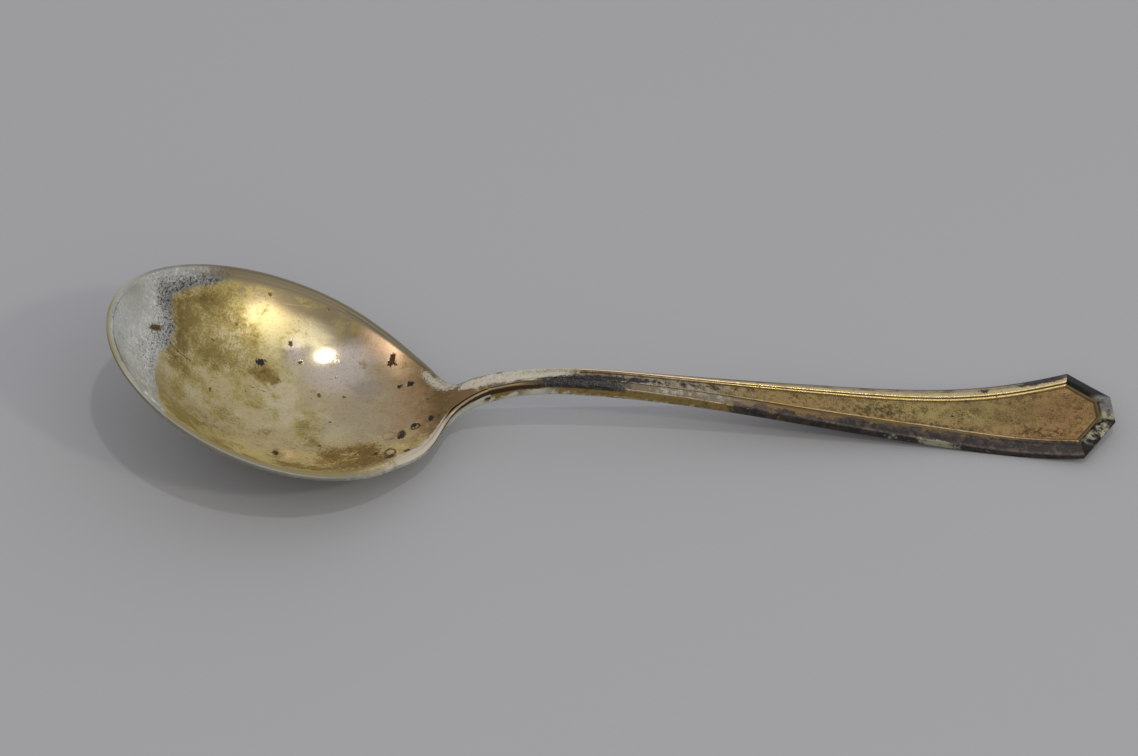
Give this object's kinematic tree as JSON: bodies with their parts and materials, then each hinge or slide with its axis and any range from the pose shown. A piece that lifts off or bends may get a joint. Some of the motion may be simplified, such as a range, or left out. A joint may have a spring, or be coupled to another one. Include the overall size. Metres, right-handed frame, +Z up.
{
  "type": "soup spoon",
  "caption": "Round-bowled soup spoon in tarnished silver plate, with a slim arched neck and a flat, moulded handle that widens to a clipped end, for lifting soup.",
  "frame": {"origin": "centre of the bounding box on the table, midway along and across the spoon as it lies bowl up", "axes": "+X from the tip of the bowl to the end of the handle, +Z up out of the bowl, +Y to the left of someone looking along +X"},
  "size_m": [0.1828, 0.049, 0.0259],
  "materials": {
    "silver_plate": "worn silver plate on nickel silver, spotted and partly tarnished",
    "tarnished_plate": "silver plate on nickel silver under golden brown and dark grey tarnish",
    "solder": "dull grey silver solder"
  },
  "bodies": {
    "root": {"bowl": "silver_plate", "handle": "tarnished_plate", "solder": "solder"}
  },
  "joints": []
}
